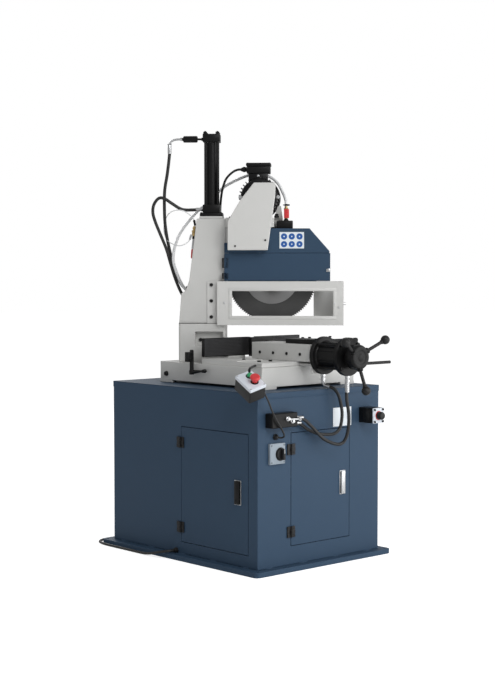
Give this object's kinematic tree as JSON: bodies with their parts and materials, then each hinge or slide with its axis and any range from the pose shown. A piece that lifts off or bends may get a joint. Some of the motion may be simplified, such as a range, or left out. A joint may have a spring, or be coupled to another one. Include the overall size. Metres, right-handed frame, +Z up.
{
  "type": "vertical column cold saw",
  "caption": "Hydraulic vertical-column circular cold saw with swivelling head, handwheel vise, push-button box and a sheet-metal cabinet with hinged doors.",
  "frame": {"origin": "on the floor under the middle of the cabinet, at the centre of the base plate's underside", "axes": "+X to the right and +Y to the back as the operator faces the vise, +Z up; the column, head and blade are turned 45 degrees for a mitre cut"},
  "size_m": [1.1187, 1.32, 1.706],
  "materials": {
    "cabinet_blue": "satin powder coat",
    "casting_grey": "satin enamel",
    "black_steel": "satin black",
    "bright_steel": "turned",
    "blade_steel": "ground",
    "black_plastic": "matte",
    "grey_plastic": "matte",
    "red_plastic": "gloss",
    "green_plastic": "gloss",
    "black_rubber": "matte",
    "clear_hose": "semi-gloss"
  },
  "bodies": {
    "base": {"base_plate": "cabinet_blue", "cabinet_shell": "cabinet_blue", "front_hinge_upper": "black_plastic", "front_hinge_lower": "black_plastic", "side_hinge_upper": "black_plastic", "side_hinge_lower": "black_plastic", "bed_casting": "casting_grey", "vise_bed": "casting_grey", "fixed_jaw_left": "black_steel", "fixed_jaw_right": "black_steel", "vise_cylinder": "black_steel", "length_stop_rod": "bright_steel", "hydraulic_manifold": "black_steel", "vise_hose_open": "black_rubber", "vise_hose_close": "black_rubber", "flow_valve": "black_steel", "control_box": "black_plastic", "control_cable": "black_rubber", "hydraulic_tank": "black_steel", "hydraulic_motor": "black_steel", "coolant_tank": "grey_plastic", "electrical_panel": "grey_plastic", "power_cord_gland": "black_plastic", "power_cord": "black_rubber", "power_cord_coil": "black_rubber", "power_plug": "red_plastic"},
    "column": {"turntable": "casting_grey", "column": "casting_grey", "blade_frame": "casting_grey", "feed_cylinder": "black_steel", "feed_cylinder_cap": "black_steel", "feed_hose_top": "black_rubber", "feed_hose_bottom": "black_rubber"},
    "head": {"head_casting": "casting_grey", "gear_cover": "casting_grey", "blade_guard": "cabinet_blue", "motor": "black_steel", "feed_piston_rod": "bright_steel", "coolant_tap": "black_steel", "coolant_hose": "clear_hose", "motor_cable": "black_rubber"},
    "blade": {"saw_blade": "blade_steel", "blade_arbor": "blade_steel"},
    "guard_door": {"guard_door": "cabinet_blue"},
    "coolant_lever": {"coolant_tap_lever": "red_plastic"},
    "swivel_lock": {"swivel_lock_lever": "black_steel"},
    "movable_jaw": {"movable_jaw": "casting_grey", "movable_jaw_insert": "black_steel"},
    "handwheel": {"handwheel_hub": "black_steel", "handwheel_arm_1": "black_steel", "handwheel_arm_2": "black_steel", "handwheel_arm_3": "black_steel"},
    "front_door": {"front_door": "cabinet_blue"},
    "side_door": {"side_door": "cabinet_blue"},
    "front_latch": {"front_latch_handle": "bright_steel"},
    "side_latch": {"side_latch_handle": "black_steel"},
    "start_button": {"start_button": "green_plastic"},
    "stop_button": {"stop_button": "red_plastic"},
    "main_switch": {"main_switch_knob": "black_plastic"},
    "flow_knob": {"flow_knob": "black_plastic"}
  },
  "joints": [
    {"name": "column_swivel", "type": "hinge", "parent": "base", "child": "column", "pos_m": [0.055, 0.005, 0.76], "axis": [0, 0, -1], "range_deg": [0, 90]},
    {"name": "head_feed", "type": "slide", "parent": "column", "child": "head", "axis": [0, 0, 1], "range_m": [-0.155, 0], "deforming": ["coolant_hose", "motor_cable"]},
    {"name": "blade_spin", "type": "hinge", "parent": "head", "child": "blade", "pos_m": [0.10994, -0.04994, 1.1125], "axis": [0.7071, 0.7071, 0], "continuous": true},
    {"name": "guard_door_hinge", "type": "hinge", "parent": "head", "child": "guard_door", "pos_m": [-0.08077, 0.03399, 1.15], "axis": [0, 0, -1], "range_deg": [0, 110]},
    {"name": "coolant_lever_turn", "type": "hinge", "parent": "head", "child": "coolant_lever", "pos_m": [0.12005, -0.12299, 1.366], "axis": [0.7071, 0.7071, 0], "range_deg": [0, 90]},
    {"name": "swivel_lock_turn", "type": "hinge", "parent": "base", "child": "swivel_lock", "pos_m": [-0.2265, 0.06, 0.78], "axis": [0, 0, -1], "range_deg": [0, 90]},
    {"name": "handwheel_turn", "type": "hinge", "parent": "base", "child": "handwheel", "pos_m": [0.035, -0.562, 0.8095], "axis": [0, 1, 0], "range_deg": [-675, 2430]},
    {"name": "jaw_slide", "type": "slide", "parent": "base", "child": "movable_jaw", "axis": [0, 1, 0], "range_m": [-0.0151, 0.0541]},
    {"name": "front_door_hinge", "type": "hinge", "parent": "base", "child": "front_door", "pos_m": [-0.159, -0.4482, 0.3], "axis": [0, 0, -1], "range_deg": [0, 100], "deforming": ["vise_hose_open", "vise_hose_close"]},
    {"name": "side_door_hinge", "type": "hinge", "parent": "base", "child": "side_door", "pos_m": [-0.3362, 0.004, 0.3], "axis": [0, 0, -1], "range_deg": [0, 110]},
    {"name": "front_latch_pull", "type": "hinge", "parent": "front_door", "child": "front_latch", "pos_m": [0.1205, -0.448, 0.35], "axis": [-1, 0, 0], "range_deg": [0, 40], "stiffness_Nm_per_rad": 0.5},
    {"name": "side_latch_pull", "type": "hinge", "parent": "side_door", "child": "side_latch", "pos_m": [-0.336, -0.334, 0.342], "axis": [0, 1, 0], "range_deg": [0, 40], "stiffness_Nm_per_rad": 0.5},
    {"name": "start_button_press", "type": "slide", "parent": "base", "child": "start_button", "axis": [0.334, 0.4764, -0.8133], "range_m": [0, 0.003], "stiffness_N_per_m": 300, "springref_m": -0.002},
    {"name": "stop_button_press", "type": "slide", "parent": "base", "child": "stop_button", "axis": [0.334, 0.4764, -0.8133], "range_m": [0, 0.004]},
    {"name": "main_switch_turn", "type": "hinge", "parent": "base", "child": "main_switch", "pos_m": [-0.2246, -0.462, 0.4493], "axis": [0, 1, 0], "range_deg": [0, 90]},
    {"name": "flow_knob_turn", "type": "hinge", "parent": "base", "child": "flow_knob", "pos_m": [0.245, -0.522, 0.568], "axis": [0, 1, 0], "range_deg": [0, 270]}
  ],
  "couplings": [
    {"joint": "jaw_slide", "follows": "handwheel_turn", "m_per_rad": 0.0012732}
  ]
}
